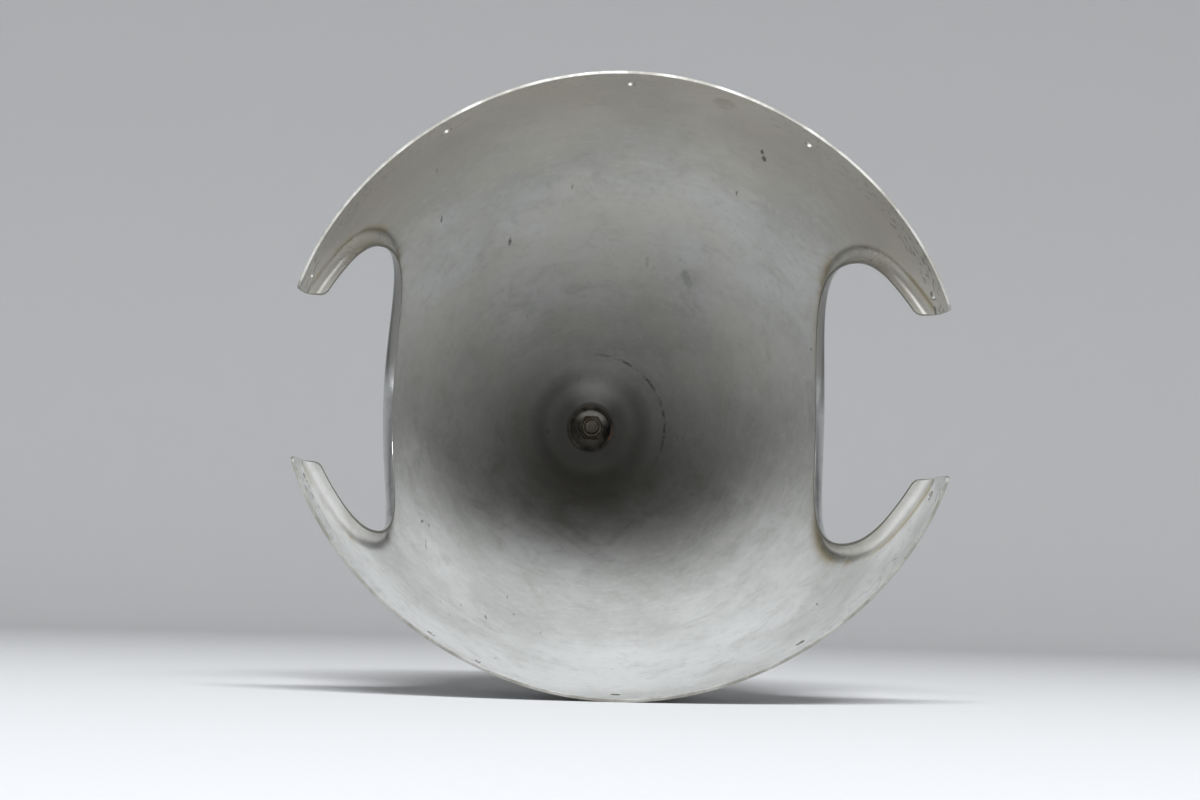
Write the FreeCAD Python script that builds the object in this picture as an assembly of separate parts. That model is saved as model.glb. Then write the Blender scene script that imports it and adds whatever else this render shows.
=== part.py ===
import FreeCAD, Part
import math
import os

# Propeller spinner for a two-blade propeller: one spun aluminium dome with two
# blade openings, and the bolt, domed washer and nut in its nose.
# Millimetres. The thrust axis is the Y axis, the nose points to +Y, the open
# rear rim lies in the XZ plane and the blades leave along +X and -X.
# The origin is the centre of the rear rim.

V = FreeCAD.Vector
AXIS_POINT = V(0, 0, 0)
AXIS = V(0, 1, 0)

# ---- spun shell ----------------------------------------------------------
SHEET = 1.6                # thickness of the aluminium sheet
RIM_RADIUS = 165.1         # mean outer radius of the rear rim
RIM_SLOPE = 5.0            # degrees between the wall and the axis at the rim
OGIVE_RADIUS = 485.0       # radius of the long arc from the rim to the nose
NOSE_FLAT_RADIUS = 16.0    # flat facing on the nose, for the bolt
NOSE_BLEND_RADIUS = 30.0   # outer radius that joins the arc to the flat

# ---- set of the sprung rim -----------------------------------------------
# The rim is wider across the blade openings and narrower between them. The
# set dies away along the axis and is gone at SPRING_REACH.
SPRING = 6.6               # outward at the openings, inward between them
LOBE = 1.3                 # the four-fold part of the same set
SPRING_REACH = 245.0       # distance from the rim where the dome is round

# ---- blade openings ------------------------------------------------------
BLADE_AXIS = 73.0          # distance of the blade axis from the rim plane
OPENING_RADIUS = 75.3      # clear radius round the blade axis
SHOULDER_RADIUS = 30.0     # smaller arc between the circle and the flank
SHOULDER_START = 100.0     # degrees round from the nose side of the circle
FLANK_SLOPE = 55.0         # degrees between the straight flank and the axis
HEEL_RADIUS = 10.0         # closes the rolled outline in metal the neck removes
NECK_HALF_WIDTH = 42.5     # half of the gap where the opening meets the rim
NECK_CORNER = 3.0          # rounded corner where the neck meets the rim

# ---- rolled lip round each opening ---------------------------------------
LIP_BEND = 4.9             # inside radius of the bend
LIP_HEIGHT = 9.0           # from the outer face of the dome to the lip's edge
LIP_CORNER = 5.0           # rounded corner at each end of the lip

# ---- rim band with its screw holes ---------------------------------------
BAND_WIDTH = 19.5          # plain band that seats on the bulkhead
RELIEF_WIDTH = 1.5         # slit that frees the lip from the band
RELIEF_LENGTH = 5.0        # length of the slit in from the neck
SCREW_COUNT = 10
SCREW_HOLE = 4.8           # diameter of each screw hole
SCREW_ROW = 16.0           # distance of the row of holes from the rim plane

# ---- bolt, washer and nut in the nose ------------------------------------
BOLT_DIAMETER = 9.525
BOLT_CLEARANCE = 0.2       # radial, in the dome and in the washer
BOLT_HEAD_RADIUS = 11.0
BOLT_HEAD_HEIGHT = 4.6
BOLT_HEAD_EDGE = 1.2       # straight side below the dome of the head
BOLT_SLOT_WIDTH = 2.0
BOLT_SLOT_DEPTH = 1.8
BOLT_PROJECTION = 2.6      # bolt end beyond the nut
BOLT_POINT = 0.8           # chamfer on the bolt end
WASHER_RADIUS = 14.5
WASHER_THICKNESS = 1.6
WASHER_BRIM = 2.0          # flat seat round the dome of the washer
WASHER_RISE = 3.0          # height of the dome of the washer
NUT_ACROSS_FLATS = 14.3
NUT_HEX_HEIGHT = 6.8
NUT_COLLAR_RADIUS = 6.6    # round collar that holds the locking ring
NUT_COLLAR_HEIGHT = 2.7
NUT_CHAMFER = 0.7          # on the end of the collar
NUT_CHAMFER_SLOPE = 30.0   # degrees, on the corners of the hexagon

# ---- modelling sizes -----------------------------------------------------
SECTION_POINTS = 36
STATIONS = 15
SEAM_ANGLE = 72.0          # degrees; the faces close here, clear of every cut
OVERRUN = 5.0              # how far cutting tools run past what they cut
TRIM = 30.0                # length of the blank that is trimmed off at the rim
JOIN_TOLERANCE = 0.01      # the two parts of the dome meet within this
FAR = 2.0 * (RIM_RADIUS + SPRING)

# ---- shared positions ----------------------------------------------------
ARC_CENTRE_Y = -OGIVE_RADIUS * math.sin(math.radians(RIM_SLOPE))
ARC_CENTRE_R = RIM_RADIUS - OGIVE_RADIUS * math.cos(math.radians(RIM_SLOPE))
_BLEND_REACH = OGIVE_RADIUS - NOSE_BLEND_RADIUS
BLEND_CENTRE_R = NOSE_FLAT_RADIUS
BLEND_CENTRE_Y = ARC_CENTRE_Y + math.sqrt(
    _BLEND_REACH ** 2 - (BLEND_CENTRE_R - ARC_CENTRE_R) ** 2)
NOSE_Y = BLEND_CENTRE_Y + NOSE_BLEND_RADIUS
NOSE_INSIDE_Y = NOSE_Y - SHEET
WASHER_CROWN_Y = NOSE_INSIDE_Y - WASHER_RISE - WASHER_THICKNESS
NUT_END_Y = WASHER_CROWN_Y - NUT_HEX_HEIGHT - NUT_COLLAR_HEIGHT
BOLT_END_Y = NUT_END_Y - BOLT_PROJECTION
BOLT_HOLE_RADIUS = BOLT_DIAMETER / 2 + BOLT_CLEARANCE


def arc_radius(y, inset):
    """Radius of the long arc at y, moved inward from the outer face."""
    reach = OGIVE_RADIUS - inset
    return ARC_CENTRE_R + math.sqrt(reach ** 2 - (y - ARC_CENTRE_Y) ** 2)


def wall_radius(a, y, inset):
    """Radius of the dome at angle a and distance y, with the set added."""
    share = min(max(y / SPRING_REACH, 0.0), 1.0)
    fade = math.cos(0.5 * math.pi * share) ** 2
    spring = SPRING * math.cos(2 * a) + LOBE * math.cos(4 * a)
    return arc_radius(y, inset) + spring * fade


def section(y, inset):
    """Closed curve round the dome at y."""
    points = []
    for i in range(SECTION_POINTS):
        a = math.radians(SEAM_ANGLE) + 2 * math.pi * i / SECTION_POINTS
        r = wall_radius(a, y, inset)
        points.append(V(r * math.cos(a), y, r * math.sin(a)))
    curve = Part.BSplineCurve()
    knots = [float(i) for i in range(SECTION_POINTS + 1)]
    curve.interpolate(Points=points, PeriodicFlag=True, Parameters=knots)
    return Part.Wire([curve.toShape()])


def dome(inset, extra):
    """Solid inside the face at an inset, from the blank's end to the nose part.

    It runs past both ends by extra.
    """
    low = -TRIM - extra
    span = SPRING_REACH + extra - low
    ys = [low + span * i / (STATIONS - 1) for i in range(STATIONS)]
    return Part.makeLoft([section(y, inset) for y in ys], True, False)


def plan_point(centre, radius, angle):
    """Point in the plane of the blade opening, seen along X."""
    a = math.radians(angle)
    return V(0, centre[0] + radius * math.cos(a), centre[1] + radius * math.sin(a))


def shoulder_centre():
    """Centre of the shoulder arc, which meets the main circle smoothly."""
    step = OPENING_RADIUS - SHOULDER_RADIUS
    p = plan_point((BLADE_AXIS, 0.0), step, SHOULDER_START)
    return (p.y, p.z)


def opening_prism(grow):
    """Rolled outline of the opening carried along X, grown outward.

    Main circle, shoulders, straight flanks and heel all meet smoothly.
    """
    flank = FLANK_SLOPE + 90.0
    shoulder = shoulder_centre()
    circle = (BLADE_AXIS, 0.0)
    apex = flank_foot_y(0.0)
    heel = (apex + HEEL_RADIUS / math.sin(math.radians(FLANK_SLOPE)), 0.0)
    big = OPENING_RADIUS + grow
    small = SHOULDER_RADIUS + grow
    start = plan_point(shoulder, small, flank)
    between = plan_point(shoulder, small, 0.5 * (flank + SHOULDER_START))
    join = plan_point(circle, big, SHOULDER_START)
    tip = plan_point(circle, big, 0.0)
    foot = plan_point(heel, HEEL_RADIUS + grow, flank)
    bottom = plan_point(heel, HEEL_RADIUS + grow, 180.0)

    def mirror(p):
        return V(0, p.y, -p.z)

    edges = [
        Part.LineSegment(foot, start).toShape(),
        Part.Arc(start, between, join).toShape(),
        Part.Arc(join, tip, mirror(join)).toShape(),
        Part.Arc(mirror(join), mirror(between), mirror(start)).toShape(),
        Part.LineSegment(mirror(start), mirror(foot)).toShape(),
        Part.Arc(mirror(foot), bottom, foot).toShape(),
    ]
    face = Part.Face(Part.Wire(edges))
    face.translate(V(-FAR, 0, 0))
    return face.extrude(V(2 * FAR, 0, 0))


def flank_foot_y(z):
    """Distance from the rim plane at which the flank is z from the axis."""
    start = plan_point(shoulder_centre(), SHOULDER_RADIUS, FLANK_SLOPE + 90.0)
    return start.y - (start.z - z) / math.tan(math.radians(FLANK_SLOPE))


def rounded_dome(inset, extra, grow, bend):
    """Dome with the openings cut through and their outer edges rounded."""
    body = dome(inset, extra).cut(opening_prism(grow))
    edges = []
    for edge in body.Edges:
        box = edge.BoundBox
        one_side = box.XMin * box.XMax > 0
        round_opening = box.YMax < BLADE_AXIS + OPENING_RADIUS + grow + OVERRUN
        if one_side and round_opening and box.YMin > -TRIM + OVERRUN:
            edges.append(edge)
    return body.makeFillet(bend, edges)


def lipped_wall():
    """Sheet of the dome with its rolled lips, trimmed square at the rim."""
    outside = rounded_dome(0.0, 0.0, 0.0, LIP_BEND + SHEET)
    inside = rounded_dome(SHEET, OVERRUN, SHEET, LIP_BEND)
    hollow = dome(LIP_HEIGHT, 2 * OVERRUN)
    length = TRIM + 4 * OVERRUN
    trimmed = Part.makeBox(2 * FAR, length, 2 * FAR, V(-FAR, -length, -FAR))
    return outside.cut(inside).cut(hollow).cut(trimmed)


def neck_gap():
    """Straight gap between the arms."""
    length = BLADE_AXIS + OVERRUN
    corner = V(-FAR, -OVERRUN, -NECK_HALF_WIDTH)
    return Part.makeBox(2 * FAR, length, 2 * NECK_HALF_WIDTH, corner)


def neck_corner_cutters():
    """What rounds the four corners where the neck meets the rim."""
    cutters = []
    for side in (-1, 1):
        z = side * (NECK_HALF_WIDTH + NECK_CORNER)
        low = min(z, side * NECK_HALF_WIDTH)
        block = Part.makeBox(2 * FAR, NECK_CORNER, NECK_CORNER, V(-FAR, 0, low))
        turn = Part.makeCylinder(NECK_CORNER, 2 * FAR, V(-FAR, NECK_CORNER, z), V(1, 0, 0))
        cutters.append(block.cut(turn))
    return cutters


def relief_cutters():
    """Slits that free the four ends of the lips from the rim band."""
    cutters = []
    half = 0.5 * RELIEF_WIDTH
    reach = NECK_HALF_WIDTH + RELIEF_LENGTH - half
    corner = V(-FAR, BAND_WIDTH, -reach)
    cutters.append(Part.makeBox(2 * FAR, RELIEF_WIDTH, 2 * reach, corner))
    for side in (-1, 1):
        end = V(-FAR, BAND_WIDTH + half, side * reach)
        cutters.append(Part.makeCylinder(half, 2 * FAR, end, V(1, 0, 0)))
    return cutters


def screw_cutters():
    """Radial holes for the screws that hold the dome to its bulkhead."""
    cutters = []
    for i in range(SCREW_COUNT):
        a = 2 * math.pi * (i + 0.5) / SCREW_COUNT
        outward = V(math.cos(a), 0, math.sin(a))
        start = V(0, SCREW_ROW, 0) + outward * (0.5 * RIM_RADIUS)
        cutters.append(Part.makeCylinder(0.5 * SCREW_HOLE, RIM_RADIUS, start, outward))
    return cutters


def meridian_point(r, y):
    """Point in the half plane that is turned round the axis."""
    return V(r, y, 0)


def arc_point(inset, share):
    """Point of the long arc between SPRING_REACH and the nose blend."""
    reach = OGIVE_RADIUS - inset
    first = math.asin((SPRING_REACH - ARC_CENTRE_Y) / reach)
    last = math.atan2(BLEND_CENTRE_Y - ARC_CENTRE_Y, BLEND_CENTRE_R - ARC_CENTRE_R)
    a = first + share * (last - first)
    return meridian_point(ARC_CENTRE_R + reach * math.cos(a), ARC_CENTRE_Y + reach * math.sin(a))


def blend_point(inset, share):
    """Point of the arc between the long arc and the flat of the nose."""
    radius = NOSE_BLEND_RADIUS - inset
    first = math.atan2(BLEND_CENTRE_Y - ARC_CENTRE_Y, BLEND_CENTRE_R - ARC_CENTRE_R)
    a = first + share * (0.5 * math.pi - first)
    return meridian_point(BLEND_CENTRE_R + radius * math.cos(a), BLEND_CENTRE_Y + radius * math.sin(a))


def turned(edges):
    """Solid turned round the axis from a closed set of meridian edges."""
    face = Part.Face(Part.Wire(edges))
    return face.revolve(AXIS_POINT, AXIS, 360)


def polyline(pairs):
    """Closed set of straight meridian edges through (radius, y) pairs."""
    points = [meridian_point(r, y) for r, y in pairs]
    ends = points[1:] + points[:1]
    return [Part.LineSegment(a, b).toShape() for a, b in zip(points, ends)]


def nose_wall():
    """Round forward part of the dome with the flat and the bolt hole."""
    hole_out = meridian_point(BOLT_HOLE_RADIUS, NOSE_Y)
    hole_in = meridian_point(BOLT_HOLE_RADIUS, NOSE_INSIDE_Y)
    edges = []
    for inset in (0.0, SHEET):
        long_arc = [arc_point(inset, s) for s in (0.0, 0.5, 1.0)]
        blend = [blend_point(inset, s) for s in (0.0, 0.5, 1.0)]
        edges.append(Part.Arc(*long_arc).toShape())
        edges.append(Part.Arc(*blend).toShape())
    edges.append(Part.LineSegment(blend_point(0.0, 1.0), hole_out).toShape())
    edges.append(Part.LineSegment(hole_out, hole_in).toShape())
    edges.append(Part.LineSegment(hole_in, blend_point(SHEET, 1.0)).toShape())
    edges.append(Part.LineSegment(arc_point(SHEET, 0.0), arc_point(0.0, 0.0)).toShape())
    return turned(Part.sortEdges(edges)[0])


def lip_edge_point(z):
    """Point of the lip's free edge where it runs along the flank."""
    y = flank_foot_y(z)
    x = wall_radius(0.0, y, LIP_HEIGHT)
    for i in range(4):
        x = math.sqrt(wall_radius(math.atan2(z, x), y, LIP_HEIGHT) ** 2 - z ** 2)
    return V(x, y, z)


def lip_end_cutters():
    """What rounds the free corner at each of the four ends of the lips."""
    flank = math.radians(FLANK_SLOPE)
    along = V(0, math.cos(flank), math.sin(flank))
    normal = V(0, -math.sin(flank), math.cos(flank))
    outward = V(1, 0, 0)
    corner = lip_edge_point(NECK_HALF_WIDTH)
    edge = lip_edge_point(NECK_HALF_WIDTH + LIP_CORNER) - corner
    edge.normalize()
    bisector = outward + edge
    bisector.normalize()
    half_angle = 0.5 * outward.getAngle(edge)
    tangent = LIP_CORNER / math.tan(half_angle)
    centre = corner + bisector * (LIP_CORNER / math.sin(half_angle))
    first = corner + outward * tangent
    last = corner + edge * tangent
    ring = [
        last,
        last - outward * OVERRUN,
        corner - outward * OVERRUN - along * OVERRUN,
        first - along * OVERRUN,
        first,
    ]
    edges = [Part.LineSegment(a, b).toShape() for a, b in zip(ring, ring[1:])]
    edges.append(Part.Arc(first, centre - bisector * LIP_CORNER, last).toShape())
    face = Part.Face(Part.Wire(edges))
    face.translate(normal * -OVERRUN)
    cutter = face.extrude(normal * (2 * OVERRUN))
    pair = [cutter, cutter.mirror(AXIS_POINT, V(1, 0, 0))]
    return pair + [c.mirror(AXIS_POINT, V(0, 0, 1)) for c in pair]


def spinner_shell():
    """Whole dome: one sheet of metal."""
    neck = [neck_gap()] + neck_corner_cutters()
    wall = lipped_wall().cut(neck).cut(relief_cutters())
    wall = wall.cut(lip_end_cutters() + screw_cutters())
    return wall.fuse([nose_wall()], JOIN_TOLERANCE)


def nose_bolt():
    """Bolt through the nose: low round head outside, end inside the nut."""
    shank = BOLT_DIAMETER / 2
    top = NOSE_Y + BOLT_HEAD_HEIGHT
    rim = meridian_point(BOLT_HEAD_RADIUS, NOSE_Y + BOLT_HEAD_EDGE)
    crown = meridian_point(0, top)
    rise = BOLT_HEAD_HEIGHT - BOLT_HEAD_EDGE
    ball = (BOLT_HEAD_RADIUS ** 2 + rise ** 2) / (2 * rise)
    half_turn = 0.5 * math.asin(BOLT_HEAD_RADIUS / ball)
    middle = meridian_point(ball * math.sin(half_turn), top - ball * (1 - math.cos(half_turn)))
    points = [
        crown,
        meridian_point(0, BOLT_END_Y),
        meridian_point(shank - BOLT_POINT, BOLT_END_Y),
        meridian_point(shank, BOLT_END_Y + BOLT_POINT),
        meridian_point(shank, NOSE_Y),
        meridian_point(BOLT_HEAD_RADIUS, NOSE_Y),
        rim,
    ]
    edges = [Part.LineSegment(a, b).toShape() for a, b in zip(points, points[1:])]
    edges.append(Part.Arc(rim, middle, crown).toShape())
    bolt = turned(edges)
    corner = V(-FAR, top - BOLT_SLOT_DEPTH, -0.5 * BOLT_SLOT_WIDTH)
    slot = Part.makeBox(2 * FAR, BOLT_SLOT_DEPTH + OVERRUN, BOLT_SLOT_WIDTH, corner)
    return bolt.cut(slot)


def nose_washer():
    """Domed washer inside the nose, brim on the dome and crown to the nut."""
    inner = WASHER_RADIUS - WASHER_BRIM
    seat = NOSE_INSIDE_Y
    ball = (inner ** 2 + WASHER_RISE ** 2) / (2 * WASHER_RISE)
    centre = seat - WASHER_RISE + ball
    hole = BOLT_HOLE_RADIUS

    def on_ball(radius, r):
        return meridian_point(r, centre - math.sqrt(radius ** 2 - r ** 2))

    outer_ball = ball + WASHER_THICKNESS
    brim_y = seat - WASHER_THICKNESS
    outer_r = math.sqrt(outer_ball ** 2 - (centre - brim_y) ** 2)
    low = on_ball(ball, inner)
    high = on_ball(ball, hole)
    flat_r = NUT_ACROSS_FLATS / 2
    crown_y = seat - WASHER_RISE - WASHER_THICKNESS
    shoulder = on_ball(outer_ball, flat_r)
    top = meridian_point(flat_r, crown_y)
    points = [
        meridian_point(hole, crown_y),
        top,
        shoulder,
    ]
    edges = [Part.LineSegment(a, b).toShape() for a, b in zip(points, points[1:])]
    outer_end = meridian_point(outer_r, brim_y)
    outer_mid = on_ball(outer_ball, 0.5 * (flat_r + outer_r))
    edges.append(Part.Arc(shoulder, outer_mid, outer_end).toShape())
    rest = [
        outer_end,
        meridian_point(WASHER_RADIUS, brim_y),
        meridian_point(WASHER_RADIUS, seat),
        low,
    ]
    edges += [Part.LineSegment(a, b).toShape() for a, b in zip(rest, rest[1:])]
    edges.append(Part.Arc(low, on_ball(ball, 0.5 * (inner + hole)), high).toShape())
    edges.append(Part.LineSegment(high, points[0]).toShape())
    return turned(edges)


def nose_nut():
    """Locking nut: chamfered hexagon with a round collar."""
    base = WASHER_CROWN_Y
    hex_end = base - NUT_HEX_HEIGHT
    corner_radius = NUT_ACROSS_FLATS / math.sqrt(3)
    flat_radius = NUT_ACROSS_FLATS / 2
    chamfer = math.tan(math.radians(NUT_CHAMFER_SLOPE))
    corners = []
    for i in range(7):
        a = math.pi * i / 3
        corners.append(V(corner_radius * math.cos(a), base, corner_radius * math.sin(a)))
    blank = Part.Face(Part.makePolygon(corners)).extrude(V(0, -NUT_HEX_HEIGHT, 0))
    cone = turned(polyline([
        (0, base),
        (flat_radius, base),
        (flat_radius + OVERRUN, base - OVERRUN * chamfer),
        (flat_radius + OVERRUN, hex_end + OVERRUN * chamfer),
        (flat_radius, hex_end),
        (0, hex_end),
    ]))
    collar = turned(polyline([
        (0, hex_end),
        (NUT_COLLAR_RADIUS, hex_end),
        (NUT_COLLAR_RADIUS, NUT_END_Y + NUT_CHAMFER),
        (NUT_COLLAR_RADIUS - NUT_CHAMFER, NUT_END_Y),
        (0, NUT_END_Y),
    ]))
    bore = Part.makeCylinder(BOLT_DIAMETER / 2, FAR, V(0, NUT_END_Y - OVERRUN, 0), AXIS)
    return blank.common(cone).fuse(collar).cut(bore)


def write(name, shape):
    """Write one sub-part and print its size."""
    shape.exportStep("parts/" + name + ".step")
    box = shape.BoundBox
    sizes = [round(s, 2) for s in (box.XLength, box.YLength, box.ZLength)]
    print(name, "valid", shape.isValid(), "solids", len(shape.Solids), sizes, round(shape.Volume, 1))


os.makedirs("parts", exist_ok=True)
write("spinner_shell", spinner_shell())
write("nose_washer", nose_washer())
write("nose_nut", nose_nut())
write("nose_bolt", nose_bolt())
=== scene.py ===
import math

import bpy
import numpy as np
from mathutils import Matrix, Vector


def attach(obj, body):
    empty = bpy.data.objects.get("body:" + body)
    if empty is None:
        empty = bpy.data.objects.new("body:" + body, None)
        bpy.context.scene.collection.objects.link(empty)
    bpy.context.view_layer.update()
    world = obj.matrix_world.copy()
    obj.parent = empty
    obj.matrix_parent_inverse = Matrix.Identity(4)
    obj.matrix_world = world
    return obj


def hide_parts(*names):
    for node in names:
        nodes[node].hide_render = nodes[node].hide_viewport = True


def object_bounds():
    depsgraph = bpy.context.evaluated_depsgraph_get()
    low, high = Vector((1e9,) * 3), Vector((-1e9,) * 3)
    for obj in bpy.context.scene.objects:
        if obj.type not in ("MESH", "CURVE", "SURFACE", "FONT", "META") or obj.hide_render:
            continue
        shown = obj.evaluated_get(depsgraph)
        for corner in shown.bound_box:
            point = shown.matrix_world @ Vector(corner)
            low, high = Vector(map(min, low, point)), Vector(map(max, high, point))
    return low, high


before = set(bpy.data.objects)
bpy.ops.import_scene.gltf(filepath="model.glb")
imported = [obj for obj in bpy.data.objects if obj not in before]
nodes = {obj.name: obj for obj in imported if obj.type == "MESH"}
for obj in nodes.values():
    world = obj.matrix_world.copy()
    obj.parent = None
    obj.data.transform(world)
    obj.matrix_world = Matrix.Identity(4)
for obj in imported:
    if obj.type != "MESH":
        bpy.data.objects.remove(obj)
cad_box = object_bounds()
MM = 0.001


# ---- sizes of the spun shell, millimetres --------------------------------
SHEET = 1.6
RIM_RADIUS = 165.1
RIM_SLOPE = math.radians(5.0)
OGIVE_RADIUS = 485.0
NOSE_FLAT_RADIUS = 16.0
NOSE_BLEND_RADIUS = 30.0
SPRING = 6.6
LOBE = 1.3
SPRING_REACH = 245.0
BLADE_AXIS = 73.0
OPENING_RADIUS = 75.3
SHOULDER_RADIUS = 30.0
SHOULDER_START = math.radians(100.0)
FLANK_SLOPE = math.radians(55.0)
FLANK_START_Z = 30.0
NECK_HALF_WIDTH = 42.5
NECK_CORNER = 3.0
LIP_BEND = 6.5
LIP_HEIGHT = 9.0
LIP_CORNER = 5.0
BAND_WIDTH = 19.5
RELIEF_HALF = 0.75
RELIEF_LENGTH = 5.0
SCREW_RADIUS = 2.4
SCREW_ROW = 16.0
SCREW_ANGLES = np.radians([18.0, 54.0, 90.0])
BOLT_HOLE_RADIUS = 4.9625
EDGE_ROUND = 0.2

ARC_Y = -OGIVE_RADIUS * math.sin(RIM_SLOPE)
ARC_R = RIM_RADIUS - OGIVE_RADIUS * math.cos(RIM_SLOPE)
BLEND_Y = ARC_Y + math.sqrt(
    (OGIVE_RADIUS - NOSE_BLEND_RADIUS) ** 2 - (NOSE_FLAT_RADIUS - ARC_R) ** 2)
NOSE_Y = BLEND_Y + NOSE_BLEND_RADIUS
SEAT_Y = BAND_WIDTH + RELIEF_HALF
SLIT_STRAIGHT = NECK_HALF_WIDTH + RELIEF_LENGTH - RELIEF_HALF

# ---- how finely the shell is divided -------------------------------------
# Rows leave the lip's bend. The first share of them ends on the top meridian, the
# rest on the ring at RING_Y, where the front of the shell takes over with its own rows.
ROWS = 84
RING_SHARE = 0.5
RING_Y = 200.0
REACH_ROWS, ARC_ROWS, BLEND_ROWS, FLAT_ROWS = 11, 16, 12, 4
# Shares down the lip from the skin to its free edge.
SECTION = np.concatenate([np.linspace(0, 0.88, 17), [0.92, 0.96, 1.0]])
# The screw holes stand in square blocks: cells along a side, cells between
# two blocks, and the share of the way out to the square for each ring.
HOLE_CELLS = 12
GAP_CELLS = 18
HOLE_RINGS = np.array([0, 0.16, 0.36, 0.6, 0.82, 1.0])[:, None, None]
HOLE_BLOCK = SEAT_Y - SCREW_ROW
TOP_HOLE = 2
# Quarter round in four points, and the columns along the slit past the neck.
CORNER_TURNS = np.radians([0.0, 30.0, 60.0, 90.0])
NECK_STEPS = np.array([0.0, 1.1, 2.2, 3.2])
BAND_ROWS = 5
# Rounds in which an angle and a place on the bend settle, and the radius to start from.
ANGLE_ROUNDS = 12
BEND_ROUNDS = 14
FIRST_RADIUS = 160.0
# Outline searched for the lip's first points, and the steps that give its rise there.
START_REACH = 60.0
START_STEPS = 4000
RISE_STEPS = 250
# Power by which rows lose the bow round the slit, reach of the bend value over
# the skin, size under which two points are one, and a column far from the slit.
SLIT_FADE = 10
BEND_FADE = 6.0
WELD = 2e-4
FAR = 1e3
OUTSIDE, INSIDE, CUT_EDGE = range(3)


def unit(v):
    return v / np.linalg.norm(v, axis=-1, keepdims=True)


def lobes_at(a):
    """How far the sprung rim stands off round at angle a: SPRING cos 2a + LOBE cos 4a."""
    return SPRING * np.cos(2 * a) + LOBE * np.cos(4 * a)


def blank_radius(a, y, inset=0.0):
    """Radius of the spun blank: the long arc plus lobes that die away by SPRING_REACH.

    arc centre + sqrt(reach^2 - (y - arc y)^2) + lobes times cos^2(pi y / 2 SPRING_REACH)
    """
    fade = np.cos(0.5 * np.pi * np.clip(y / SPRING_REACH, 0, 1)) ** 2
    return ARC_R + np.sqrt((OGIVE_RADIUS - inset) ** 2 - (y - ARC_Y) ** 2) + lobes_at(a) * fade


def skin(a, y):
    """Points and outward normals of the outer face at angle a and distance y.

    The normal is the radial direction less the slopes of the radius along y and round a.
    """
    a, y = np.broadcast_arrays(np.asarray(a, float), np.asarray(y, float))
    turn = 0.5 * np.pi * np.clip(y / SPRING_REACH, 0, 1)
    r = blank_radius(a, y)
    fade_slope = -np.sin(2 * turn) * 0.5 * np.pi / SPRING_REACH
    arc_slope = -(y - ARC_Y) / np.sqrt(OGIVE_RADIUS ** 2 - (y - ARC_Y) ** 2)
    r_y = arc_slope + lobes_at(a) * fade_slope
    r_a = (-2 * SPRING * np.sin(2 * a) - 4 * LOBE * np.sin(4 * a)) * np.cos(turn) ** 2 / r
    points = np.stack([r * np.cos(a), y, r * np.sin(a)], -1)
    normals = np.stack([np.cos(a) + r_a * np.sin(a), -r_y, np.sin(a) - r_a * np.cos(a)], -1)
    return points, unit(normals)


def angle_at(y, z, inset=0.0):
    """Angle round the axis at which the face at y stands z above it: arcsin(z / radius)."""
    a = np.arcsin(np.clip(z / FIRST_RADIUS, -1, 1))
    for _ in range(ANGLE_ROUNDS):
        a = np.arcsin(np.clip(z / blank_radius(a, y, inset), -1, 1))
    return a


SHOULDER_Y = BLADE_AXIS + (OPENING_RADIUS - SHOULDER_RADIUS) * math.cos(SHOULDER_START)
SHOULDER_Z = (OPENING_RADIUS - SHOULDER_RADIUS) * math.sin(SHOULDER_START)
FLANK_TURN = FLANK_SLOPE + 0.5 * math.pi
FLANK_END = (SHOULDER_Y + SHOULDER_RADIUS * math.cos(FLANK_TURN),
             SHOULDER_Z + SHOULDER_RADIUS * math.sin(FLANK_TURN))
FLANK_LENGTH = (FLANK_END[1] - FLANK_START_Z) / math.sin(FLANK_SLOPE)
SHOULDER_LENGTH = SHOULDER_RADIUS * (FLANK_TURN - SHOULDER_START)
LINE_LENGTH = FLANK_LENGTH + SHOULDER_LENGTH + OPENING_RADIUS * SHOULDER_START
# Half the angle that each screw hole's block takes up.
HOLE_HALF = HOLE_BLOCK / blank_radius(SCREW_ANGLES, SCREW_ROW)


def rolled_line(t):
    """Rolled outline seen along X at length t: points (y, z) and directions away from the opening.

    A straight flank, then the shoulder arc, then the main circle to its nose side.
    """
    past_flank = np.clip(t - FLANK_LENGTH, 0, SHOULDER_LENGTH)
    past_shoulder = np.clip(t - FLANK_LENGTH - SHOULDER_LENGTH, 0, None)
    turn = FLANK_TURN - past_flank / SHOULDER_RADIUS - past_shoulder / OPENING_RADIUS
    away = np.stack([np.cos(turn), np.sin(turn)], -1)
    back = np.clip(FLANK_LENGTH - t, 0, None)[..., None]
    flank = np.array(FLANK_END) - back * np.array([math.cos(FLANK_SLOPE), math.sin(FLANK_SLOPE)])
    shoulder = np.array([SHOULDER_Y, SHOULDER_Z]) + SHOULDER_RADIUS * away
    circle = np.array([BLADE_AXIS, 0.0]) + OPENING_RADIUS * away
    t = t[..., None]
    bowed = np.where(t < FLANK_LENGTH + SHOULDER_LENGTH, shoulder, circle)
    return np.where(t < FLANK_LENGTH, flank, bowed), away


def bend_start(t):
    """Where the lip's bend leaves the skin: its angle and y there.

    A ball of the bend's radius touches the skin from inside and the lip's upright face.
    """
    line, away = rolled_line(t)
    plan = line + LIP_BEND * away
    for _ in range(BEND_ROUNDS):
        a = angle_at(plan[..., 0], plan[..., 1])
        _, normal = skin(a, plan[..., 0])
        plan = line + LIP_BEND * (away + normal[..., 1:])
    return angle_at(plan[..., 0], plan[..., 1]), plan[..., 0]


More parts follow.
